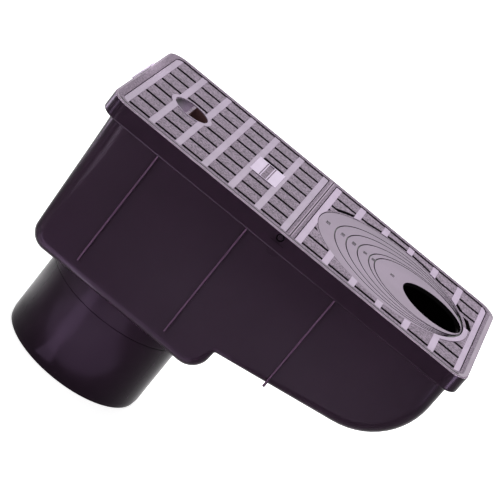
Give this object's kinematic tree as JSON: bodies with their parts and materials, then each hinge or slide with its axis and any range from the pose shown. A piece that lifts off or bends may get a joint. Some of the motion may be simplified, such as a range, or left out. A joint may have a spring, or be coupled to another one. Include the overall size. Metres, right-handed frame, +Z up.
{
  "type": "rainwater gully with odour trap",
  "caption": "Dark plastic rainwater gully with a straight bottom outlet, a grey slotted grate with a finger pull, an eccentric ring plate for a downpipe, a leaf basket and an odour flap.",
  "frame": {"origin": "the outlet spigot's axis at its lower end", "axes": "+X along the cover from the grate end to the downpipe end, +Z up out of the cover"},
  "size_m": [0.3009, 0.168, 0.198],
  "materials": {
    "body_plastic": "smooth satin, near-black aubergine",
    "frame_plastic": "fine moulded grain, light grey",
    "grate_plastic": "rough grained slats and smooth bars, light grey",
    "downpipe_grate_plastic": "rough grained slats and smooth bars, light grey",
    "disc_plastic": "smooth satin, light grey",
    "pin_plastic": "smooth black",
    "basket_plastic": "smooth dark grey",
    "trap_plastic": "smooth dark grey",
    "seal_rubber": "black rubber",
    "flap_plastic": "smooth grey",
    "pin_steel": "drawn stainless wire",
    "gasket_rubber": "black soft rubber"
  },
  "bodies": {
    "gully": {"body": "body_plastic", "cover_frame": "frame_plastic", "inspection_grate": "grate_plastic", "downpipe_grate": "downpipe_grate_plastic", "ring_plate": "disc_plastic", "near_frame_pin": "pin_plastic", "far_frame_pin": "pin_plastic", "leaf_basket": "basket_plastic", "trap_insert": "trap_plastic", "trap_ring": "seal_rubber", "flap_pin": "pin_steel"},
    "flap": {"odour_flap": "flap_plastic", "flap_gasket": "gasket_rubber"}
  },
  "joints": [
    {"name": "flap_swing", "type": "hinge", "parent": "gully", "child": "flap", "pos_m": [-0.006, 0, 0.0625], "axis": [0, -1, 0], "range_deg": [0, 60]}
  ]
}
